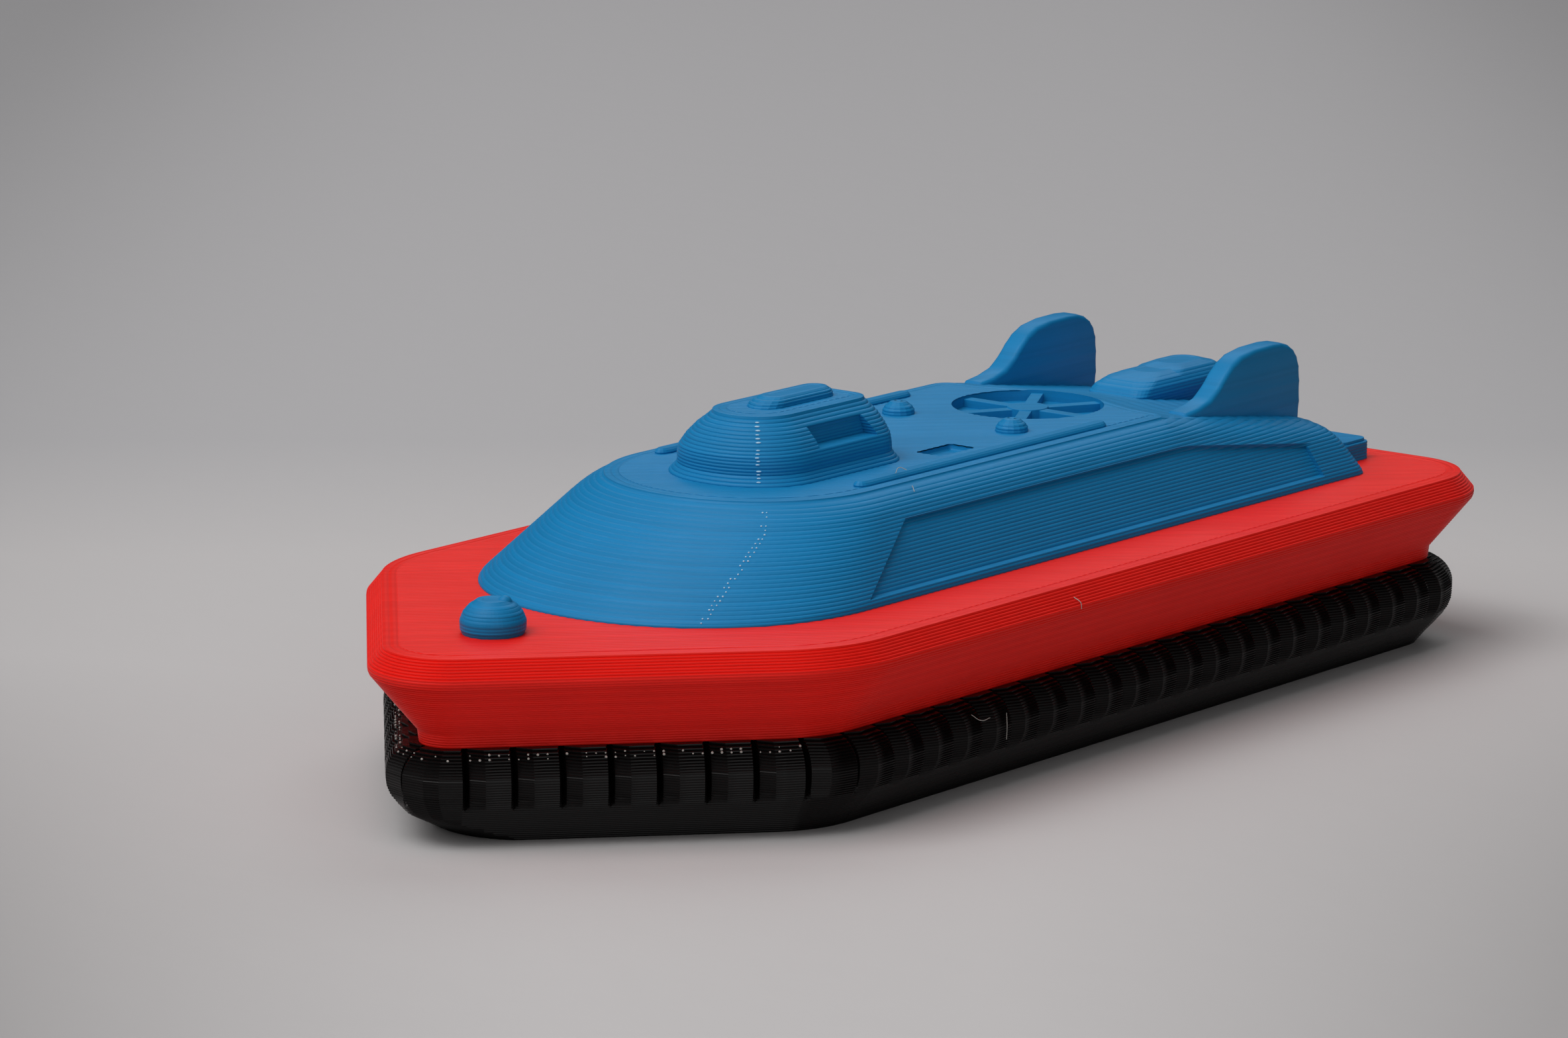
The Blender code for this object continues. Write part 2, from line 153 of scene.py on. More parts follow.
PAPER_SIZE = 6.0
PAPER = (0.55, 0.53, 0.53, 1.0)
PAPER_FAR = (0.465, 0.455, 0.465, 1.0)
PAPER_TURN = math.radians(39.54)     # the camera's direction, which the painted shade follows
FOLD_NEAR = 0.046                    # places along the sheet between which it turns greyer
FOLD_FAR = 0.087
SHADE = (0.0, 0.0, 0.0, 1.0)
EDGE_NEAR = 0.0005                   # squares of the distances across, over which its sides darken
EDGE_FAR = 0.0088
EDGE_DARK = 0.30
NEAR_SHIFT = 0.006                   # how far off the camera's middle line its near end is palest
NEAR_END = 0.02                      # place along the sheet from where its near corners darken
NEAR_LOW = 0.00001                   # products of the square across and the distance from there
NEAR_HIGH = 0.00014
NEAR_DARK = 0.28
PAPER_GRAIN = 260.0
GRAIN_STRENGTH = 0.15
GRAIN_DEPTH = 0.0004

bpy.ops.mesh.primitive_plane_add(size=PAPER_SIZE)
paper = bpy.context.object
paper.name = "paper"
sheet = Finish("white_paper")
across = sheet.x * math.cos(PAPER_TURN) + sheet.y * math.sin(PAPER_TURN)
along = sheet.y * math.cos(PAPER_TURN) - sheet.x * math.sin(PAPER_TURN)
grain = sheet.noise(PAPER_GRAIN, 4.0)
far = sheet.clipped(along, FOLD_NEAR, FOLD_FAR)
edge = sheet.clipped(across * across, EDGE_NEAR, EDGE_FAR, 0.0, EDGE_DARK, "SMOOTHSTEP")
shifted = across + NEAR_SHIFT
near = sheet.clipped(shifted * shifted * (NEAR_END - along), NEAR_LOW, NEAR_HIGH, 0.0, NEAR_DARK)
tone = sheet.mix(edge + near, sheet.mix(far, PAPER, PAPER_FAR), SHADE)
fibres = sheet.node("ShaderNodeBump", Height=grain, Strength=GRAIN_STRENGTH, Distance=GRAIN_DEPTH)
sheet.set(Base_Color=tone, Roughness=0.9, Normal=fibres)
paper.data.materials.append(sheet.material)

LIGHTS = (
    # name, place, size, power
    ("key", (-0.28, -0.75, 0.70), 0.8, 2.8),
    ("fill", (0.60, -0.30, 0.72), 0.9, 1.0),
    ("top", (-0.10, -0.40, 0.95), 0.8, 6.0),
    ("side", (-0.70, -0.30, 0.60), 0.8, 1.0),
    ("back", (-0.30, 0.60, 0.75), 0.8, 2.2),
    ("low", (0.75, -0.60, 0.22), 0.6, 1.3),
)
ROOM_COLOUR = (0.80, 0.86, 0.93, 1.0)
ROOM_LIGHT = 0.01
for light_name, place, size, power in LIGHTS:
    bpy.ops.object.light_add(type="AREA", location=place)
    lamp = bpy.context.object
    lamp.name = light_name
    lamp.data.size = size
    lamp.data.energy = power
    lamp.rotation_euler = (-Vector(place)).to_track_quat("-Z", "Y").to_euler()
world = bpy.data.worlds.new("room")
bpy.context.scene.world = world
world.use_nodes = True
sky = world.node_tree.nodes["Background"]
sky.inputs["Color"].default_value = ROOM_COLOUR
sky.inputs["Strength"].default_value = ROOM_LIGHT


# Hull: one red print. Its layers are 0.15 mm, laid round the pointed outline from the
# underside up, and its deck is filled with lines 0.415 mm apart that run slantwise.
MM = 0.001
DATUM = 0.3                          # height above the paper of the plane that heights start from
LENGTH = 86.0
BEAM = 38.0
BOW_HALF_ANGLE = math.radians(43.5)
BOW_RADIUS = 4.9
SIDE_RADIUS = 10.0
STERN_RADIUS = 6.0
FINE_LAYER = 0.15
HULL_FOOT = 5.4
HULL_LAYERS = 38
HULL_TOP = 11.1
HULL_PROFILE = (
    # height, outset from the widest line
    (5.4, -2.90),
    (6.2, -2.80),
    (9.55, -0.06),
    (9.75, 0.0),
    (9.95, 0.0),
    (11.1, -0.95),
)
BEAD = 0.018                         # how far a layer's round edge stands out of the joint
LINE_WIDTH = 0.45                    # of the lines laid round a deck's edge
FILL_PITCH = 0.415                   # of the slanting lines that fill a flat top
GLOSS = 0.16                         # how strongly the plastic mirrors, against a clear varnish's 0.5
RIDGE = 0.028                        # how far a line's round top stands up
EDGE_LINE = ((0.4, RIDGE), (0.35, RIDGE), (0.25, 0.0))    # shares of a line's width, heights
LINE_ROUND = (0.0, 0.75, 1.0, 0.75)  # shares of the ridge's height over one line of the filling
SHEET_THICKNESS = 0.08               # of the sheet of lines on a flat top
RIM_REACH = 1.0                      # how far the block that cuts it out stands above and below
DECK_LINES = 232
LOW_TONE = 0.80                      # of the darkest layers, against the plastic's own colour
HIGH_TONE = 1.18
SHINE_SPREAD = 0.08
LEVEL_FROM = 0.90                    # upward part of the normal where a face starts to count as flat
LEVEL_FULL = 0.99
BEAD_TONE = 0.28                     # shares of layers, clouds and streaks in the differences of tone
CLOUD_TONE = 0.3
STREAK_TONE = 0.18
CLOUD_SCALE = 240.0
STREAK_SCALE = 900.0
STREAK_STRETCH = (0.25, 0.25, 5.0)
SWELL_SCALE = 1500.0
SWELL_STRENGTH = 0.35
SWELL_DEPTH = 0.00002


def arc(centre, radius, start, end, steps):
    """Points on an arc with their outward normals."""
    found = []
    for i in range(steps + 1):
        angle = start + (end - start) * i / steps
        normal = (math.cos(angle), math.sin(angle))
        found.append(((centre[0] + radius * normal[0], centre[1] + radius * normal[1]), normal))
    return found


def hull_line(steps=12):
    """Points and outward normals of the widest line, all round from the bow tip by port."""
    half = BEAM / 2
    normal = (math.cos(BOW_HALF_ANGLE), -math.sin(BOW_HALF_ANGLE))
    bow_centre = (0.0, -LENGTH / 2 + BOW_RADIUS)
    side_x = half - SIDE_RADIUS
    side_y = (normal[0] * side_x + normal[1] * -bow_centre[1] + SIDE_RADIUS - BOW_RADIUS) / -normal[1]
    stern_centre = (half - STERN_RADIUS, LENGTH / 2 - STERN_RADIUS)
    points = arc(bow_centre, BOW_RADIUS, -math.pi / 2, -BOW_HALF_ANGLE, steps)
    points += arc((side_x, side_y), SIDE_RADIUS, -BOW_HALF_ANGLE, 0.0, steps)
    points += arc(stern_centre, STERN_RADIUS, 0.0, math.pi / 2, steps)
    points.append(((0.0, LENGTH / 2), (0.0, 1.0)))
    back = [((-x, y), (-nx, ny)) for (x, y), (nx, ny) in reversed(points[1:-1])]
    return points + back


def between(table, height):
    """Read a table of rows that start with a height, with straight steps between its rows."""
    if height <= table[0][0]:
        return table[0][1:]
    for low, high in zip(table, table[1:]):
        if height <= high[0]:
            share = (height - low[0]) / (high[0] - low[0])
            return tuple(a + (b - a) * share for a, b in zip(low[1:], high[1:]))
    return table[-1][1:]


def inset_ring(plan, inset):
    """Move a closed line of points inwards, all by one inset or each by its own."""
    count = len(plan)
    insets = inset if isinstance(inset, list) else [inset] * count
    found = []
    for i, (x, y) in enumerate(plan):
        before, after = plan[i - 1], plan[(i + 1) % count]
        dx, dy = after[0] - before[0], after[1] - before[1]
        size = math.hypot(dx, dy) or 1.0
        found.append((x - dy / size * insets[i], y + dx / size * insets[i]))
    return found


def solid(name, rings, finish):
    """Skin closed rings of equal count, each a list of places in mm, from the bottom one up."""
    size = len(rings[0])
    points = [(x * MM, y * MM, z * MM) for ring in rings for x, y, z in ring]
    faces = [tuple(range(size))[::-1]]
    for r in range(len(rings) - 1):
        a, b = r * size, (r + 1) * size
        faces += [(a + i, a + (i + 1) % size, b + (i + 1) % size, b + i) for i in range(size)]
    faces.append(tuple(range(len(points) - size, len(points))))
    mesh = bpy.data.meshes.new(name)
    mesh.from_pydata(points, [], faces)
    mesh.validate()
    mesh.materials.append(finish.material)
    piece = bpy.data.objects.new(name, mesh)
    bpy.context.scene.collection.objects.link(piece)
    return piece


def printed(name, foot, layer, count, outline, finish, bead=BEAD, shares=(0.08, 0.36, 0.64, 0.92),
            edge_lines=2, melt=0.0):
    """Lay a piece in layers: outline(height) gives each layer's plan in mm, the same count of points.

    Bead is how far a layer's edge stands out of the joint, for all points or for each. Shares are
    the heights in a layer where it is drawn. Edge lines run round its top inside the edge. Melt is
    how far the steps between its layers have run into an even slope, from 0 to 1.
    """
    rings = []
    for k in range(count):
        low = foot + k * layer
        for share in shares:
            edge = outline(low + (0.5 + (share - 0.5) * melt) * layer)
            inner = inset_ring(edge, bead(low) if callable(bead) else bead)
            if share in (shares[0], shares[-1]):
                edge = inner
            rings.append([(x, y, low + share * layer) for x, y in edge])
    rings[0] = [(x, y, foot) for x, y, _ in rings[0]]
    top = foot + count * layer
    rings[-1] = [(x, y, top) for x, y, _ in rings[-1]]
    for _ in range(edge_lines):
        for step, lift in EDGE_LINE:
            inner = inset_ring(inner, step * LINE_WIDTH)
            rings.append([(x, y, top + lift) for x, y in inner])
    return solid(name, rings, finish)


def modify(piece, kind, **settings):
    """Finish a piece with one modifier and apply it."""
    change = piece.modifiers.new(kind.lower(), kind)
    for key, value in settings.items():
        setattr(change, key, value)
    bpy.context.view_layer.objects.active = piece
    bpy.ops.object.modifier_apply(modifier=change.name)


def combine(piece, tool, operation, keep=False):
    """Join a closed tool to a piece, cut it out, or keep only what lies in both."""
    modify(piece, "BOOLEAN", operation=operation, solver="EXACT", object=tool)
    if not keep:
        bpy.data.objects.remove(tool, do_unlink=True)


def filled(name, outline, height, lines, finish, cuts=(), middle=0.0):
    """The lines that fill a flat top: a ridged sheet cut to an outline, one bead for each line."""
    bpy.ops.mesh.primitive_grid_add(x_subdivisions=1, y_subdivisions=4 * lines,
                                    size=lines * FILL_PITCH * MM,
                                    location=(0.0, middle * MM, height * MM),
                                    rotation=(0.0, 0.0, math.radians(45.0)))
    sheet_of_lines = bpy.context.object
    sheet_of_lines.name = name
    bpy.ops.object.transform_apply(location=True, rotation=True, scale=True)
    for i, vertex in enumerate(sheet_of_lines.data.vertices):
        vertex.co.z += RIDGE * MM * LINE_ROUND[i // 2 % 4]
    modify(sheet_of_lines, "SOLIDIFY", thickness=SHEET_THICKNESS * MM, offset=-1.0)
    ends = (height - RIM_REACH, height + RIM_REACH)
    rim = solid("rim", [[(x, y, z) for x, y in outline] for z in ends], finish)
    combine(sheet_of_lines, rim, "INTERSECT")
    for tool in cuts:
        combine(sheet_of_lines, tool, "DIFFERENCE", keep=True)
    sheet_of_lines.data.materials.clear()
    sheet_of_lines.data.materials.append(finish.material)
    return sheet_of_lines


def plastic(name, colour, layer, roughness):
    """Printed plastic: each layer, or each line of a flat top, differs a little in tone and shine."""
    made = Finish(name)
    layer_tone = made.node("ShaderNodeTexWhiteNoise", {"noise_dimensions": "1D"},
                           W=(made.z / (layer * MM)).sum("FLOOR"))
    line = ((made.x - made.y) * (math.sqrt(0.5) / (FILL_PITCH * MM))).sum("FLOOR")
    line_tone = made.node("ShaderNodeTexWhiteNoise", {"noise_dimensions": "1D"}, W=line)
    facing = made.node("ShaderNodeNewGeometry", output="Normal")
    up = made.node("ShaderNodeSeparateXYZ", output=2, Vector=facing)
    flat = made.clipped(up, LEVEL_FROM, LEVEL_FULL)
    bead_tone = layer_tone + (line_tone - layer_tone) * flat
    cloud = made.noise(CLOUD_SCALE, 3.0)
    streak = made.noise(STREAK_SCALE, 2.0, STREAK_STRETCH)
    level = 0.5 + (bead_tone - 0.5) * BEAD_TONE + (cloud - 0.5) * CLOUD_TONE + (streak - 0.5) * STREAK_TONE
    low = tuple(c * LOW_TONE for c in colour[:3]) + (1.0,)
    high = tuple(min(1.0, c * HIGH_TONE) for c in colour[:3]) + (1.0,)
    made.set(Base_Color=made.mix(level, low, high))
    made.set(Roughness=made.clipped(level, 0.0, 1.0, roughness + SHINE_SPREAD, roughness - SHINE_SPREAD))
    swell = made.noise(SWELL_SCALE)
    made.set(Normal=made.node("ShaderNodeBump", Height=swell, Strength=SWELL_STRENGTH, Distance=SWELL_DEPTH))
    made.set(Specular_IOR_Level=GLOSS)
    return made


def finished(piece, node=None):
    """Stand a piece on the paper, hang it on the root body, and hide the imported solid that it stands for,
    if one is named.
    """
    piece.data.transform(Matrix.Translation((0.0, 0.0, DATUM * MM)))
    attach(piece, "root")
    if node:
        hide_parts(node)


red = plastic("red_plastic", (0.89, 0.014, 0.008, 1.0), FINE_LAYER, 0.42)


def hull_outline(height):
    """The hull's plan at a height."""
    outset = between(HULL_PROFILE, height)[0]
    return [(x + nx * outset, y + ny * outset) for (x, y), (nx, ny) in hull_line()]


hull = printed("hull_print", HULL_FOOT, FINE_LAYER, HULL_LAYERS, hull_outline, red)
finished(hull, "hull")

deck_edge = inset_ring(inset_ring(hull_outline(HULL_TOP), LINE_WIDTH), LINE_WIDTH + BEAD)
deck_lines = filled("hull_deck_lines", deck_edge, HULL_TOP, DECK_LINES, red)
finished(deck_lines)


# Skirt: one black print of upright fingers in 0.15 mm layers. Each has a smooth face that looks
# forward and a ribbed one outwards, with a gap that narrows downwards, and rounds in at the top.
# They end on a smooth band that tapers in, most of all at the bow.
SKIRT_LAYERS = 38
FINGERS = 74
FINGER_PATH = -2.6                   # outset of the line that the fingers are spaced along
FINGER_PHASE = -0.17                 # of the first gap, in finger widths from the bow tip
FINGER_STEPS = (-1.0, -0.93, -0.85, -0.2, 0.2, 0.85, 0.93)
FACE_PLAN = ((-1.0, 0.46), (-0.85, 0.42), (-0.2, 0.0), (0.85, 0.0), (1.0, 0.06))    # places, depths
GAP_PLAN = ((0.85, 0.0), (0.93, 0.6), (1.0, 1.2))
FACE_RISE = ((1.9, 0.0), (2.6, 1.0))                                              # heights, shares
GAP_RISE = ((2.0, 0.0), (3.2, 0.6), (4.4, 1.0))
DOME_FROM = 3.6                      # height from where the fingers round in
DOME_HEIGHT = 1.8
DOME_DEPTH = 1.95
RIB = 0.040                          # how deep the layers show on a finger's outer face
BAND_RIB = 0.008
RIB_LOW = 2.0                        # height that the ribbed faces start from
RIB_POWER = 4                        # how fast the ribs fade where a face turns to the bow
SKIRT_SHARES = (0.1, 0.5, 0.9)
STERN_SHRINK = 0.3                   # how much shorter the fingers' row is at the stern
STERN_FACING = 0.6                   # outward direction's y, and height, from which all of it holds
SHRINK_FULL = 2.5
FRONT_PROFILE = (
    # height, outset of the fingers' fronts and of the band
    (-0.3, -3.65),
    (0.6, -2.85),
    (1.2, -2.25),
    (1.9, -1.6),
    (2.4, -1.2),
    (2.9, -1.00),
    (3.3, -0.95),
    (3.7, -0.94),
)
BOW_LIMIT = ((-0.3, -37.4), (0.6, -39.2), (1.4, -40.8), (2.3, -42.0))    # heights, places of the bow's tip
BOW_CURVE = 0.09                     # how fast the blunt bow falls back beside its tip
BOW_REACH = 5.9                      # half width of the blunt bow


def path_points(offset, steps, phase):
    """Places along the line through the fingers, with normals, one for each step of each finger."""
    line = [((x + nx * offset, y + ny * offset), (nx, ny)) for (x, y), (nx, ny) in hull_line(16)]
    closed = line + line[:1]
    lengths = [0.0]
    for (a, _), (b, _) in zip(closed, closed[1:]):
        lengths.append(lengths[-1] + math.dist(a, b))
    pitch = lengths[-1] / FINGERS
    found = []
    for finger in range(FINGERS):
        for step in steps:
            goal = (pitch * (finger + phase + 0.5 + step / 2)) % lengths[-1]
            part = max(k for k in range(len(lengths) - 1) if lengths[k] <= goal)
            span = lengths[part + 1] - lengths[part]
            share = (goal - lengths[part]) / span if span else 0.0
            (a, na), (b, nb) = closed[part], closed[part + 1]
            x, y = (a[k] + (b[k] - a[k]) * share for k in range(2))
            nx, ny = (na[k] + (nb[k] - na[k]) * share for k in range(2))
            size = math.hypot(nx, ny)
            found.append((x, y, nx / size, ny / size, step))
    return found


finger_line = path_points(FINGER_PATH, FINGER_STEPS, FINGER_PHASE)


def skirt_outline(height):
    """The skirt's plan at a height: fingers above, the smooth band below."""
    front = between(FRONT_PROFILE, height)[0]
    rise = min(1.0, max(0.0, height - DOME_FROM) / DOME_HEIGHT)
    dome = DOME_DEPTH * (1.0 - math.sqrt(1.0 - rise * rise))
    face_share = between(FACE_RISE, height)[0]
    gap_share = between(GAP_RISE, height)[0]
    found = []
    for x, y, nx, ny, step in finger_line:
        sunk = between(FACE_PLAN, math.copysign(step, x * step))[0] * face_share
        sunk += between(GAP_PLAN, abs(step))[0] * gap_share + dome
        outset = front - sunk
        shrink = min(1.0, max(0.0, ny) / STERN_FACING) * min(1.0, max(0.0, height) / SHRINK_FULL)
        outset -= STERN_SHRINK * shrink
        outset -= FINGER_PATH
        across, along = x + nx * outset, y + ny * outset
        if abs(across) < BOW_REACH and along < 0.0:
            along = max(along, between(BOW_LIMIT, height)[0] + BOW_CURVE * across * across)
        found.append((across, along))
    return found


black = plastic("black_plastic", (0.0026, 0.0020, 0.0020, 1.0), FINE_LAYER, 0.28)


def ribs(height):
    """How deep the joints between the layers are: deepest on the outer faces of the fingers."""
    if height < RIB_LOW:
        return BAND_RIB
    return [BAND_RIB + (RIB - BAND_RIB) * nx ** RIB_POWER if step * x > 0.0 else BAND_RIB
            for x, _, nx, _, step in finger_line]


skirt = printed("skirt_print", -DATUM, FINE_LAYER, SKIRT_LAYERS, skirt_outline, black, ribs, SKIRT_SHARES,
                edge_lines=0)
finished(skirt, "skirt")


# Superstructure: one blue print in 0.2 mm layers. A cone-shaped bow runs into leaning side
# walls with a sunk panel each and round upper edges, and the roof falls towards the stern.
LAYER = 0.2
HOUSE_FOOT = 11.1
HOUSE_LAYERS = 29
HOUSE_PROFILE = (
    # height, half width, bow tip y, bow length
    (11.1, 13.1, -29.15, 12.5),
    (11.3, 13.1, -29.05, 12.5),
    (11.5, 13.05, -28.75, 12.4),
    (15.4, 10.78, -22.26, 9.93),
    (15.8, 10.51, -21.6, 9.68),
    (16.15, 10.2, -21.02, 9.46),
    (16.4, 9.87, -20.6, 9.3),
    (16.6, 9.52, -20.25, 9.0),
    (16.7, 9.3, -20.08, 8.85),
    (16.8, 9.05, -19.9, 8.7),
)
HOUSE_TOP = 16.9
ROOF_BREAK = 18.0
ROOF_FALL = 0.154
AFT_WALL = ((11.1, 35.6), (13.4, 34.5), (14.1, 34.0), (14.5, 33.4), (14.9, 32.0))    # heights and places
AFT_CORNER = 1.25
CROWN = 2.0                          # how much further aft each falling layer reaches in the middle
SHOULDER = (
    # depth below the roof, rounding of its edge
    (0.1, 0.92),
    (0.2, 0.72),
    (0.3, 0.56),
    (0.5, 0.33),
    (0.75, 0.15),
    (1.1, 0.04),
    (1.5, 0.0),
)
PANEL_DEPTH = 0.3
PANEL_LOW = 11.65
PANEL_FORE = ((11.65, -16.1), (15.25, -10.2))     # heights and places of its fore edge
PANEL_AFT = ((11.65, 30.5), (13.6, 30.1), (15.2, 18.0))
PANEL_FADE = 1.5                     # over which each layer of its falling top edge runs out
FADE_FROM = 13.5                     # height from which they do
SHARP = 0.01                         # length over which a notch ends sharply
HOUSE_BEAD = 0.022
HOUSE_MELT = 0.75
ROOF_LINES = 132
NOSE_POWER = 2.1                     # powers that make the bow's plan a little fuller than an ellipse
NOSE_ROUND = 0.48
NOSE_STEPS = 30
SIDE_STEPS = 24
TAIL_STEPS = 6
TAIL_LEAST = 2.5                     # least distance from the panel to the aft corner
FORE_LEAST = 1.0                     # and from the bow tip to the panel
POCKET = (4.0, 6.0, -0.6, 2.9)        # x and y ranges of the sunk hatch on each side of the roof
POCKET_DEPTH = 0.4
POCKET_ROUND = 0.25
WELL_PLACE = (0.0, 16.0)             # of the round sunk lift fan
WELL_RADIUS = 4.85
WELL_DEPTH = 0.7


def plan(half, tip, nose, aft, corner, fore, end, sunk, fade=SHARP, crown=0.0):
    """Half-ellipse bow, straight sides, each with a notch from fore to end, and round aft corners.

    The notch runs out over the length fade before its aft end. The middle reaches further aft by crown.
    """
    def wall(y):
        if y >= tip + nose:
            return half
        return half * max(0.0, 1.0 - ((tip + nose - y) / nose) ** NOSE_POWER) ** NOSE_ROUND

    side = []
    for i in range(NOSE_STEPS + 1):
        y = tip + (fore - tip) * (1.0 - math.cos(math.pi / 2 * i / NOSE_STEPS))
        side.append((wall(y), y))
    for k in range(SIDE_STEPS + 1):
        y = fore + 0.02 + (end - fore - 0.04) * k / SIDE_STEPS
        side.append((wall(y) - sunk * min(1.0, max(0.0, (end - y) / fade)), y))
    side += [(half, end + (aft - corner - end) * k / TAIL_STEPS) for k in range(TAIL_STEPS)]
    for k in range(7):
        angle = math.pi / 2 * k / 6
        side.append((half - corner + corner * math.cos(angle), aft - corner + corner * math.sin(angle)))
    for share in (0.8, 0.6, 0.4, 0.2, 0.0):
        side.append((share * (half - corner), aft + crown * (1.0 + math.cos(math.pi * share)) / 2))
    return side + [(-x, y) for x, y in reversed(side[1:-1])]


def house_outline(height):
    """The superstructure's plan at a height."""
    half, tip, nose = between(HOUSE_PROFILE, height)
    wall_end = between(AFT_WALL, height)[0]
    aft = min(wall_end, ROOF_BREAK + (HOUSE_TOP + LAYER / 2 - height) / ROOF_FALL)
    fore = max(between(PANEL_FORE, height)[0], tip + FORE_LEAST)
    fade = PANEL_FADE if FADE_FROM < height else SHARP
    end = min(between(PANEL_AFT, height)[0] + fade / 2, aft - AFT_CORNER - TAIL_LEAST)
    sunk = PANEL_DEPTH if PANEL_LOW < height < PANEL_FORE[-1][0] else 0.0
    crown = min(wall_end - aft, CROWN)
    found = []
    for x, y in plan(half, tip, nose, aft, AFT_CORNER, fore, end, sunk, fade, crown):
        roof = HOUSE_TOP - max(0.0, y - ROOF_BREAK) * ROOF_FALL
        rounding = between(SHOULDER, roof - height)[0] - between(SHOULDER, HOUSE_TOP - height)[0]
        found.append((x * (1.0 - rounding / half), y))
    return found


blue = plastic("blue_plastic", (0.008, 0.215, 0.48, 1.0), LAYER, 0.42)
house = printed("superstructure_print", HOUSE_FOOT, LAYER, HOUSE_LAYERS, house_outline, blue, HOUSE_BEAD,
                melt=HOUSE_MELT)
bpy.ops.mesh.primitive_cylinder_add(vertices=96, radius=WELL_RADIUS * MM, depth=2.0 * WELL_DEPTH * MM,
                                    location=(WELL_PLACE[0] * MM, WELL_PLACE[1] * MM, HOUSE_TOP * MM))
well_tool = bpy.context.object
cut_tools = [well_tool]
for side in (1.0, -1.0):
    place = (side * (POCKET[0] + POCKET[1]) / 2, (POCKET[2] + POCKET[3]) / 2, HOUSE_TOP)
    bpy.ops.mesh.primitive_cube_add(size=MM, location=[v * MM for v in place],
                                    scale=(POCKET[1] - POCKET[0], POCKET[3] - POCKET[2], 2 * POCKET_DEPTH))
    pocket_tool = bpy.context.object
    modify(pocket_tool, "BEVEL", width=POCKET_ROUND * MM, segments=3)
    cut_tools.append(pocket_tool)
for tool in cut_tools:
    combine(house, tool, "DIFFERENCE", keep=True)
roof_edge = inset_ring(inset_ring(house_outline(HOUSE_TOP - LAYER / 2), LINE_WIDTH), LINE_WIDTH + BEAD)
roof_lines = filled("superstructure_roof_lines", roof_edge, HOUSE_TOP, ROOF_LINES, blue, cut_tools)
for tool in cut_tools:
    bpy.data.objects.remove(tool, do_unlink=True)
finished(house, "superstructure")
finished(roof_lines)


# Lift fan: a hub and six flat blades in the round well of the roof, printed with it.
HUB_RADIUS = 1.3
HUB_HEIGHT = 1.0
HUB_MIDDLE = 16.3
BLADES = 6
BLADE_WIDTH = 0.8
BLADE_TOP = 16.72
BLADE_HEIGHT = 0.8
BLADE_FROM = HUB_RADIUS * 0.6        # inner and outer ends, in the hub and in the well's wall
BLADE_TO = WELL_RADIUS + 0.1
FAN_ROUND = 0.12
blade_pieces = []
for k in range(BLADES):
    turn = math.radians(360.0 * k / BLADES)
    reach = (BLADE_FROM + BLADE_TO) / 2
    place = (reach * math.cos(turn), WELL_PLACE[1] + reach * math.sin(turn), BLADE_TOP - BLADE_HEIGHT / 2)
    bpy.ops.mesh.primitive_cube_add(size=MM, rotation=(0.0, 0.0, turn), location=[v * MM for v in place],
                                    scale=(BLADE_TO - BLADE_FROM, BLADE_WIDTH, BLADE_HEIGHT))
    bpy.ops.object.transform_apply(location=True, rotation=True, scale=True)
    blade_pieces.append(bpy.context.object)
bpy.ops.mesh.primitive_cylinder_add(vertices=48, radius=HUB_RADIUS * MM, depth=HUB_HEIGHT * MM,
                                    location=(0.0, WELL_PLACE[1] * MM, HUB_MIDDLE * MM))
bpy.ops.object.transform_apply(location=True, rotation=True, scale=True)
fan = bpy.context.object
fan.name = "lift_fan_print"
for blade in blade_pieces:
    combine(fan, blade, "UNION")
modify(fan, "BEVEL", width=FAN_ROUND * MM, segments=2, limit_method="ANGLE")
fan.data.materials.clear()
fan.data.materials.append(blue.material)
finished(fan, "fan_hub")


# Wheelhouse: printed up from the roof, widest at its foot, with a stepped slope to its own
# small roof and a sunk window on each side of the slope.
CABIN_LAYERS = 19
CABIN_TOP = 20.7
CABIN_BEAD = 0.026
CABIN_MELT = 0.6
CABIN_LINES = 40
CABIN_MIDDLE = -8.2                  # place of its roof's middle along the toy
LINES_SUNK = 0.002                   # how far the roof's lines lie in it
CABIN_PROFILE = (
    # height, half width, bow tip y, bow length, aft end y, aft corner radius
    (16.9, 5.10, -16.05, 4.3, -2.10, 2.0),
    (17.0, 5.05, -15.99, 4.3, -2.15, 2.0),
    (17.5, 4.65, -15.55, 4.1, -2.40, 1.9),
    (18.1, 4.64, -15.55, 4.1, -2.45, 1.9),
    (18.6, 4.50, -15.50, 4.05, -2.49, 1.8),
    (19.2, 4.15, -15.05, 3.75, -2.63, 1.7),
    (19.8, 3.65, -14.47, 3.4, -2.75, 1.6),
    (20.3, 3.05, -13.85, 3.0, -2.92, 1.5),
    (20.6, 2.75, -13.50, 2.7, -3.05, 1.5),
)
WINDOW_LOW = 18.7
WINDOW_HIGH = 19.9
WINDOW_FORE = ((18.7, -10.3), (19.9, -10.45))
WINDOW_AFT = ((18.7, -4.8), (19.9, -5.3))
WINDOW_FACE = 3.35                   # half width at its upright sunk face


def cabin_outline(height):
    """The wheelhouse's plan at a height."""
    half, tip, nose, aft, corner = between(CABIN_PROFILE, height)
    sunk = half - WINDOW_FACE if WINDOW_LOW < height < WINDOW_HIGH else 0.0
    return plan(half, tip, nose, aft, corner, between(WINDOW_FORE, height)[0],
                between(WINDOW_AFT, height)[0], sunk)


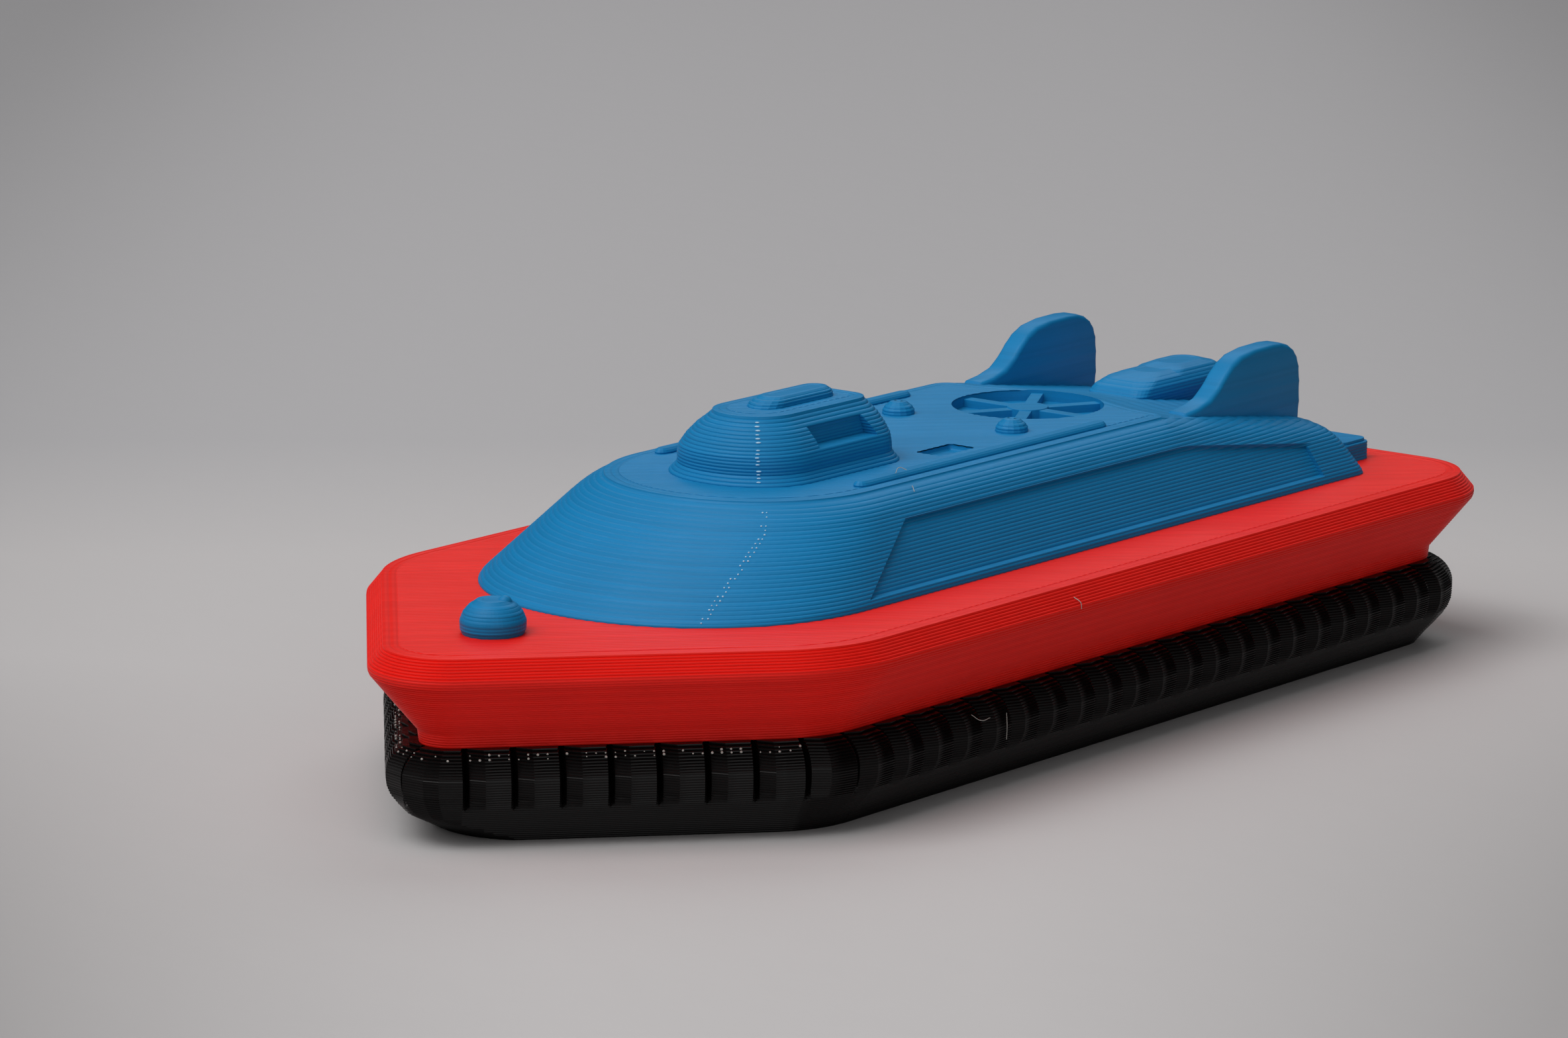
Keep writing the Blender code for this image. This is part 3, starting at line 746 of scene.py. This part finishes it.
cabin = printed("wheelhouse_print", HOUSE_TOP, LAYER, CABIN_LAYERS, cabin_outline, blue, CABIN_BEAD,
                melt=CABIN_MELT)
cabin_edge = inset_ring(inset_ring(cabin_outline(CABIN_TOP), LINE_WIDTH), LINE_WIDTH + BEAD)
cabin_lines = filled("wheelhouse_roof_lines", cabin_edge, CABIN_TOP - LINES_SUNK, CABIN_LINES, blue,
                     middle=CABIN_MIDDLE)
finished(cabin, "wheelhouse")
finished(cabin_lines)


# Roof hatch: a long low bar with round ends on the wheelhouse, in four layers that step back.
HATCH_PROFILE = (
    # height, half width, fore end, aft end
    (20.7, 1.20, -11.25, -4.3),
    (20.95, 1.18, -11.0, -4.35),
    (21.15, 1.05, -10.6, -4.45),
    (21.3, 0.75, -10.0, -4.75),
)
HATCH_LAYERS = 4
END_STEPS = 8


def stadium(middle, half, fore, aft, stretch=1.0):
    """A plan with straight sides and round ends, each drawn out by the stretch."""
    found = []
    for start, end_y, sign in ((0.0, aft, 1.0), (math.pi, fore, -1.0)):
        for i in range(END_STEPS + 1):
            angle = start + math.pi * i / END_STEPS
            found.append((middle + half * math.cos(angle),
                          end_y - sign * half * stretch + half * stretch * math.sin(angle)))
    return found


def oblong(near, far, fore, aft, corner):
    """A plan with straight sides and small round corners."""
    found = []
    for x, y, start in ((far - corner, aft - corner, 0.0), (near + corner, aft - corner, 0.5),
                        (near + corner, fore + corner, 1.0), (far - corner, fore + corner, 1.5)):
        for i in range(7):
            angle = math.pi * (start + i / 12)
            found.append((x + corner * math.cos(angle), y + corner * math.sin(angle)))
    return found


def hatch_outline(height):
    """The roof hatch's plan at a height."""
    half, fore, aft = between(HATCH_PROFILE, height)
    return stadium(0.0, half, fore, aft)


hatch = printed("roof_hatch_print", CABIN_TOP, FINE_LAYER, HATCH_LAYERS, hatch_outline, blue, edge_lines=1,
                melt=CABIN_MELT)
finished(hatch, "roof_hatch")


# Rails and vents: two low lines along the edges of the roof, two layers high, and two small
# round vents between them.
RAIL_X = 7.8
RAIL_HALF = 0.5
RAIL_FORE = -11.1
RAIL_AFT = 13.6
RAIL_LAYER = 0.17
RAIL_LAYERS = 2
RAIL_STRETCH = 1.4
RAIL_ROUND = ((0.0, 0.02), (0.12, 0.0), (0.22, 0.06), (0.34, 0.22))    # heights, insets
VENT_PLACE = (4.5, 8.45)
VENT_LAYERS = 4
VENT_PROFILE = ((0.0, 1.05), (0.3, 1.02), (0.55, 0.85), (0.8, 0.5))    # heights, radii
SMALL_BEAD = 0.01
SMOOTH_MELT = 0.9

for side, end in ((1.0, "port"), (-1.0, "starboard")):
    def rail_outline(height, side=side):
        inset = between(RAIL_ROUND, height - HOUSE_TOP)[0]
        return stadium(side * RAIL_X, RAIL_HALF - inset, RAIL_FORE + inset, RAIL_AFT - inset, RAIL_STRETCH)

    rail = printed("rail_" + end + "_print", HOUSE_TOP, RAIL_LAYER, RAIL_LAYERS, rail_outline, blue,
                   SMALL_BEAD, edge_lines=0, melt=SMOOTH_MELT)
    finished(rail, "rail_" + end)

    def vent_outline(height, side=side):
        radius = between(VENT_PROFILE, height - HOUSE_TOP)[0]
        return stadium(side * VENT_PLACE[0], radius, VENT_PLACE[1] - radius, VENT_PLACE[1] + radius)

    vent = printed("vent_" + end + "_print", HOUSE_TOP, LAYER, VENT_LAYERS, vent_outline, blue, edge_lines=1,
                   melt=SMOOTH_MELT)
    finished(vent, "vent_" + end)


# Fins: two upright plates on the falling roof, with a hollow leading edge and round rims. They
# are drawn as one outline, thickened, rounded, and grooved at each of their layers.
FIN_X = 8.2
FIN_THICKNESS = 1.6
FIN_ROUND = 0.62
FIN_OUTLINE = (
    # place along the toy, height
    (20.6, 16.2), (20.9, 16.72), (22.2, 16.88), (23.4, 17.2), (24.3, 17.8), (25.1, 18.55), (25.8, 19.1),
    (26.8, 19.55), (28.3, 19.77), (30.3, 19.83), (31.3, 19.76), (32.1, 19.53), (32.7, 19.15), (33.1, 18.65),
    (33.35, 18.0), (33.45, 17.0),
    (33.45, 15.6), (33.3, 13.9), (26.0, 14.6),
)
FIN_FOOT = 13.9
FIN_LAYERS = 29
GROOVE = 0.012                       # how deep the joints between its layers are
GROOVE_LIFTS = (-0.2, 0.0, 0.2)      # shares of a layer between which a joint is drawn in


def layered(piece, foot, layer, count):
    """Cut a piece's mesh at each joint between two layers, and draw it in a little there."""
    bpy.context.view_layer.objects.active = piece
    bpy.ops.object.select_all(action="DESELECT")
    piece.select_set(True)
    bpy.ops.object.mode_set(mode="EDIT")
    for k in range(1, count):
        for lift in GROOVE_LIFTS:
            joint = (0.0, 0.0, (foot + (k + lift) * layer) * MM)
            bpy.ops.mesh.select_all(action="SELECT")
            bpy.ops.mesh.bisect(plane_co=joint, plane_no=(0.0, 0.0, 1.0))
            if lift == 0.0:
                bpy.ops.transform.shrink_fatten(value=-GROOVE * MM)
    bpy.ops.object.mode_set(mode="OBJECT")
    bpy.ops.object.select_all(action="DESELECT")


for side, end in ((1.0, "port"), (-1.0, "starboard")):
    bpy.ops.mesh.primitive_circle_add(vertices=len(FIN_OUTLINE), radius=MM, fill_type="NGON")
    fin = bpy.context.object
    fin.name = "fin_" + end + "_print"
    for vertex, (y, z) in zip(fin.data.vertices, FIN_OUTLINE):
        vertex.co = Vector((side * FIN_X, y, z)) * MM
    modify(fin, "SOLIDIFY", thickness=FIN_THICKNESS * MM, offset=0.0)
    modify(fin, "BEVEL", width=FIN_ROUND * MM, segments=5, limit_method="ANGLE",
           angle_limit=math.radians(60))
    bpy.ops.object.select_all(action="DESELECT")
    fin.select_set(True)
    bpy.context.view_layer.objects.active = fin
    bpy.ops.object.mode_set(mode="EDIT")
    bpy.ops.mesh.select_all(action="SELECT")
    bpy.ops.mesh.normals_make_consistent(inside=False)
    bpy.ops.object.mode_set(mode="OBJECT")
    layered(fin, FIN_FOOT, LAYER, FIN_LAYERS)
    bpy.context.view_layer.objects.active = fin
    fin.select_set(True)
    bpy.ops.object.shade_smooth_by_angle(angle=math.radians(35))
    fin.data.materials.clear()
    fin.data.materials.append(blue.material)
    finished(fin, "fin_" + end)


# Engine: a round-nosed nacelle on the middle of the roof between the fins, with a second,
# higher hump on its aft half.
ENGINE_PROFILE = (
    # height, half width, fore end, aft end, corner radius
    (14.4, 1.9, 25.2, 32.4, 0.9),
    (15.2, 2.2, 25.0, 33.2, 0.9),
    (16.2, 2.3, 25.0, 34.6, 0.9),
    (16.6, 2.2, 25.4, 35.2, 1.0),
    (17.0, 1.9, 26.3, 34.8, 1.1),
    (17.2, 1.5, 27.2, 34.4, 1.0),
    (17.3, 1.1, 28.0, 33.8, 0.9),
)
COWL_PROFILE = (
    # height, half width, fore end, aft end, corner radius
    (16.6, 2.0, 28.6, 35.3, 1.0),
    (17.0, 1.9, 29.0, 35.2, 1.1),
    (17.3, 1.6, 29.6, 34.7, 1.1),
    (17.5, 1.1, 30.5, 33.9, 1.0),
)
ENGINE_FOOT = 14.5
ENGINE_LAYERS = 14
COWL_FOOT = 16.7
COWL_LAYERS = 4


def engine_outline(height):
    """The nacelle's plan at a height."""
    half, fore, aft, corner = between(ENGINE_PROFILE, height)
    return oblong(-half, half, fore, aft, corner)


def cowl_outline(height):
    """The aft hump's plan at a height."""
    half, fore, aft, corner = between(COWL_PROFILE, height)
    return oblong(-half, half, fore, aft, corner)


engine = printed("engine_nacelle_print", ENGINE_FOOT, LAYER, ENGINE_LAYERS, engine_outline, blue,
                 edge_lines=1, melt=SMOOTH_MELT)
cowl = printed("engine_cowl_print", COWL_FOOT, LAYER, COWL_LAYERS, cowl_outline, blue, edge_lines=1,
               melt=SMOOTH_MELT)
for piece, node in ((engine, "engine_base"), (cowl, "engine_cowl")):
    finished(piece, node)


# Stern bar and bow knob: both printed in blue on the red deck. The bar's top layer is a little
# smaller, and the knob is a round boss with a small lump on top.
BAR_HALF = 10.42
BAR_FORE = 36.2
BAR_AFT = 39.6
BAR_CORNER = 0.75
BAR_LAYERS = 7
BAR_STEP = 0.15                      # how much smaller the top layer is on each side
BAR_STEP_FROM = 1.2                  # height of that layer above the deck
BAR_MELT = 0.6
KNOB_Y = -34.65
KNOB_STEPS = 48
KNOB_LAYERS = 10
NUB_PLACE = (0.62, -34.3, 12.93)
NUB_RADIUS = 0.42
KNOB_PROFILE = (
    # height above the deck, radius
    (0.0, 1.80),
    (0.3, 1.93),
    (0.8, 1.95),
    (1.3, 1.75),
    (1.7, 1.40),
    (2.05, 0.85),
)


def bar_outline(height):
    """The stern bar's plan at a height."""
    inset = BAR_STEP if height > HULL_TOP + BAR_STEP_FROM else 0.0
    return oblong(inset - BAR_HALF, BAR_HALF - inset, BAR_FORE + inset, BAR_AFT - inset, BAR_CORNER)


def knob_outline(height):
    """The bow knob's plan at a height."""
    radius = between(KNOB_PROFILE, height - HULL_TOP)[0]
    turns = [2 * math.pi * i / KNOB_STEPS for i in range(KNOB_STEPS)]
    return [(radius * math.cos(turn), KNOB_Y + radius * math.sin(turn)) for turn in turns]


bar = printed("stern_bar_print", HULL_TOP, LAYER, BAR_LAYERS, bar_outline, blue, edge_lines=0, melt=BAR_MELT)
knob = printed("bow_knob_print", HULL_TOP, LAYER, KNOB_LAYERS, knob_outline, blue, SMALL_BEAD, edge_lines=1,
               melt=SMOOTH_MELT)
bpy.ops.mesh.primitive_uv_sphere_add(segments=24, ring_count=16, radius=NUB_RADIUS * MM,
                                     location=[v * MM for v in NUB_PLACE])
combine(knob, bpy.context.object, "UNION")
for piece, node in ((bar, "stern_bar"), (knob, "bow_knob")):
    finished(piece, node)


# Drops and wisps: small blobs that the nozzle left, in two rows under the hull's foot at the bow
# and up the seams of the cone and the wheelhouse, with a few curled hairs. The blobs' pale colour is
# painted glint, light caught on them, not the plastic's own; the hairs share the pale grey.
DROP_STEPS = (-0.8, -0.4, 0.0, 0.4, 0.8)
DROP_ROWS = ((5.2, -1.84), (5.0, -1.62))          # heights, outsets
DROP_RADIUS = 0.085
DROP_SHARE = 0.7                     # of the places in a row that have a drop
DROP_FACING = -0.55                  # the rows lie where the outward direction's y is below this
STRAY = 0.04                         # how far a drop or speck lies off its row or seam
SEAMS = (
    # plan, point of the plan that the seam runs up, foot, layers, distance of its two rows of specks
    (cabin_outline, 12, HOUSE_TOP, 19, 0.0),
    (house_outline, 13, HOUSE_FOOT, 27, 0.13),
)
SPECK_RADIUS = 0.055
SPECK_SHARE = 0.8
HAIR_RADIUS = 0.022
HAIRS = (
    ((8.2, -7.8, 17.3), (8.1, -7.3, 17.55), (8.4, -7.0, 17.4)),
    ((9.6, -8.0, 16.7), (9.9, -8.3, 16.8), (10.2, -8.5, 16.55)),
    ((17.7, -12.5, 4.8), (18.05, -12.1, 4.45), (18.0, -11.1, 4.4)),
    ((18.0, -9.5, 4.4), (18.12, -9.6, 3.6), (18.05, -9.55, 2.8)),
    ((18.6, -3.8, 10.5), (19.05, -3.7, 10.2), (19.05, -3.6, 9.8)),
)
chance = random.Random(4)

# painted glint: the drops under the hull are pale grey to stand for light caught on black beads; the hairs
# use the same grey
glint_and_wisp_grey = Finish("pale_grey_glints_and_wisps")
glint_and_wisp_grey.set(Base_Color=(0.42, 0.41, 0.38, 1.0), Roughness=0.35)
# painted glint: the seam's blobs are real, but their pale blue stands for light caught on them, not the blue
# plastic's own colour
seam_glint_blue = Finish("pale_blue_seam_glints")
seam_glint_blue.set(Base_Color=(0.48, 0.74, 0.92, 1.0), Roughness=0.30)


def drop(place, radius, stretch=1.0, turn=0.0):
    """A small round drop, drawn out along the layer."""
    bpy.ops.mesh.primitive_ico_sphere_add(subdivisions=2, radius=radius * MM, scale=(stretch, 1.0, 1.0),
                                          location=[v * MM for v in place], rotation=(0.0, 0.0, turn))
    return bpy.context.object


def joined(name, pieces, finish):
    """Make one piece of several."""
    bpy.ops.object.select_all(action="DESELECT")
    for piece in pieces:
        piece.select_set(True)
    bpy.context.view_layer.objects.active = pieces[0]
    bpy.ops.object.join()
    bpy.ops.object.transform_apply(location=True, rotation=True, scale=True)
    whole = bpy.context.object
    whole.name = name
    whole.data.materials.clear()
    whole.data.materials.append(finish.material)
    return whole


drops = []
for x, y, nx, ny, _ in path_points(FINGER_PATH, DROP_STEPS, FINGER_PHASE):
    for height, outset in DROP_ROWS:
        size = DROP_RADIUS * chance.uniform(0.4, 1.0)
        if ny < DROP_FACING and chance.random() < DROP_SHARE:
            reach = outset - FINGER_PATH
            place = (x + nx * reach, y + ny * reach, height + chance.uniform(-STRAY, STRAY))
            drops.append(drop(place, size))
specks = []
for outline, index, foot, count, doubled in SEAMS:
    for k in range(1, count):
        height = foot + (k + 0.5) * LAYER
        ring = outline(height)
        (x, y), (ahead_x, ahead_y) = ring[index], ring[index + 1]
        turn = math.atan2(ahead_y - y, ahead_x - x)
        for side in ((-1.0, 1.0) if doubled else (1.0,)):
            shift = side * doubled + chance.uniform(-STRAY, STRAY)
            place = (x + shift * math.cos(turn), y + shift * math.sin(turn), height)
            if chance.random() < SPECK_SHARE:
                size = SPECK_RADIUS * chance.uniform(0.7, 1.0)
                specks.append(drop(place, size, 1.2 if doubled else 3.0, turn))
hairs = []
for path in HAIRS:
    bpy.ops.curve.primitive_bezier_curve_add(location=(0.0, 0.0, 0.0))
    hair = bpy.context.object
    hair.data.splines[0].bezier_points.add(1)
    for point, place in zip(hair.data.splines[0].bezier_points, path):
        point.co = Vector(place) * MM
        point.handle_left_type = point.handle_right_type = "AUTO"
    hair.data.bevel_depth = HAIR_RADIUS * MM
    hair.data.bevel_resolution = 1
    hair.data.use_fill_caps = True
    bpy.ops.object.convert(target="MESH")
    hairs.append(bpy.context.object)
finished(joined("skirt_glint_drops", drops, glint_and_wisp_grey))
finished(joined("seam_glint_specks", specks, seam_glint_blue))
finished(joined("stray_hairs", hairs, glint_and_wisp_grey))
